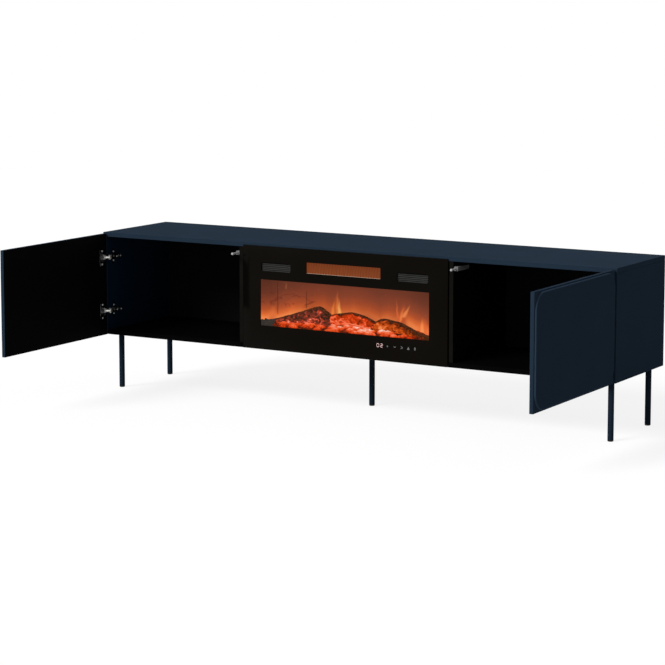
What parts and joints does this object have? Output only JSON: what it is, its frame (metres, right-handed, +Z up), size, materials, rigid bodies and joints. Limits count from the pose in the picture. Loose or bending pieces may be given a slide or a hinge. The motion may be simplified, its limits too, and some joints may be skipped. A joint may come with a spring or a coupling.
{
  "type": "tv cabinet",
  "caption": "Low, wide TV cabinet on thin round legs: a hinged door compartment at each end and an electric fireplace with a glass front in the middle bay.",
  "frame": {"origin": "on the floor under the centre leg, in the middle of the carcass's width and depth", "axes": "+X to the right, +Y to the back, +Z up, seen from in front; the doors open towards -Y"},
  "size_m": [2.001, 0.9923, 0.57],
  "materials": {
    "navy_lacquer": "satin lacquer on fibreboard",
    "black_board": "matt black melamine",
    "back_board": "thin black fibreboard",
    "leg_paint": "satin powder coat",
    "glide_plastic": "matt",
    "hinge_steel": "nickel plated",
    "latch_plastic": "satin grey",
    "grille_plastic": "matt dark grey",
    "fire_glass": "black printed glass, clear in its window",
    "housing_steel": "black sheet steel",
    "outlet_metal": "warm lit grille",
    "ember_resin": "cast embers and logs",
    "screen_acrylic": "satin diffuser",
    "spindle_steel": "bright",
    "black_plastic": "matt",
    "circuit_board": "satin",
    "heater_ceramic": "matt ceramic"
  },
  "bodies": {
    "cabinet": {"blower_motor": "spindle_steel", "bottom_panel": "black_board", "center_back_panel": "back_board", "center_leg": "leg_paint", "center_leg_glide": "glide_plastic", "control_board": "circuit_board", "cord_gland": "black_plastic", "fireplace_glass": "fire_glass", "fireplace_housing": "housing_steel", "flame_screen": "screen_acrylic", "front_left_leg": "leg_paint", "front_left_leg_glide": "glide_plastic", "front_right_leg": "leg_paint", "front_right_leg_glide": "glide_plastic", "heating_element": "heater_ceramic", "left_back_panel": "back_board", "left_divider": "black_board", "left_latch_housing": "latch_plastic", "left_lower_hinge_arm": "hinge_steel", "left_lower_mounting_plate": "hinge_steel", "left_side_panel": "navy_lacquer", "left_upper_hinge_arm": "hinge_steel", "left_upper_mounting_plate": "hinge_steel", "left_vent_grille": "grille_plastic", "light_board": "circuit_board", "log_set": "ember_resin", "outlet_grille": "outlet_metal", "rear_left_leg": "leg_paint", "rear_left_leg_glide": "glide_plastic", "rear_right_leg": "leg_paint", "rear_right_leg_glide": "glide_plastic", "right_back_panel": "back_board", "right_divider": "black_board", "right_latch_housing": "latch_plastic", "right_lower_hinge_arm": "hinge_steel", "right_lower_mounting_plate": "hinge_steel", "right_side_panel": "navy_lacquer", "right_upper_hinge_arm": "hinge_steel", "right_upper_mounting_plate": "hinge_steel", "right_vent_grille": "grille_plastic", "spindle_motor": "black_plastic", "top_panel": "navy_lacquer"},
    "left_outer_links": {"left_lower_outer_link": "hinge_steel", "left_upper_outer_link": "hinge_steel"},
    "left_inner_links": {"left_lower_inner_link": "hinge_steel", "left_upper_inner_link": "hinge_steel"},
    "left_door": {"left_door": "navy_lacquer", "left_lower_hinge_cup": "hinge_steel", "left_upper_hinge_cup": "hinge_steel"},
    "left_latch_plunger": {"left_latch_plunger": "latch_plastic"},
    "right_outer_links": {"right_lower_outer_link": "hinge_steel", "right_upper_outer_link": "hinge_steel"},
    "right_inner_links": {"right_lower_inner_link": "hinge_steel", "right_upper_inner_link": "hinge_steel"},
    "right_door": {"right_door": "navy_lacquer", "right_lower_hinge_cup": "hinge_steel", "right_upper_hinge_cup": "hinge_steel"},
    "right_latch_plunger": {"right_latch_plunger": "latch_plastic"},
    "blower_wheel": {"blower_wheel": "black_plastic"},
    "flame_spindle": {"flame_spindle": "spindle_steel"}
  },
  "joints": [
    {"name": "left_outer_link_swing", "type": "hinge", "parent": "cabinet", "child": "left_outer_links", "pos_m": [-0.97393, -0.19852, 0.383], "axis": [0, 0, 1], "range_deg": [-22.24, 2.48]},
    {"name": "left_door_swing", "type": "hinge", "parent": "left_outer_links", "child": "left_door", "pos_m": [-0.987, -0.2114, 0.383], "axis": [0, 0, 1], "range_deg": [-12.47, 112.23]},
    {"name": "left_inner_link_swing", "type": "hinge", "parent": "cabinet", "child": "left_inner_links", "pos_m": [-0.96803, -0.20312, 0.383], "axis": [0, 0, 1], "range_deg": [-36.28, 4.04]},
    {"name": "left_plunger_slide", "type": "slide", "parent": "cabinet", "child": "left_latch_plunger", "axis": [0, 1, 0], "range_m": [-0.00365, 0.03251]},
    {"name": "right_outer_link_swing", "type": "hinge", "parent": "cabinet", "child": "right_outer_links", "pos_m": [0.97393, -0.19852, 0.383], "axis": [0, 0, -1], "range_deg": [-22.24, 2.48]},
    {"name": "right_door_swing", "type": "hinge", "parent": "right_outer_links", "child": "right_door", "pos_m": [0.987, -0.2114, 0.383], "axis": [0, 0, -1], "range_deg": [-12.47, 112.23]},
    {"name": "right_inner_link_swing", "type": "hinge", "parent": "cabinet", "child": "right_inner_links", "pos_m": [0.96803, -0.20312, 0.383], "axis": [0, 0, -1], "range_deg": [-36.28, 4.04]},
    {"name": "right_plunger_slide", "type": "slide", "parent": "cabinet", "child": "right_latch_plunger", "axis": [0, 1, 0], "range_m": [-0.00365, 0.03251]},
    {"name": "blower_spin", "type": "hinge", "parent": "cabinet", "child": "blower_wheel", "pos_m": [0, -0.1285, 0.502], "axis": [1, 0, 0], "continuous": true},
    {"name": "flame_spindle_spin", "type": "hinge", "parent": "cabinet", "child": "flame_spindle", "pos_m": [0, -0.1015, 0.308], "axis": [1, 0, 0], "continuous": true}
  ],
  "couplings": [
    {"joint": "left_outer_link_swing", "follows": "left_door_swing", "ratio": -0.19807},
    {"joint": "left_inner_link_swing", "follows": "left_door_swing", "ratio": -0.32315},
    {"joint": "left_plunger_slide", "follows": "left_door_swing", "m_per_rad": 0.016592},
    {"joint": "right_outer_link_swing", "follows": "right_door_swing", "ratio": -0.19807},
    {"joint": "right_inner_link_swing", "follows": "right_door_swing", "ratio": -0.32315},
    {"joint": "right_plunger_slide", "follows": "right_door_swing", "m_per_rad": 0.016592}
  ]
}
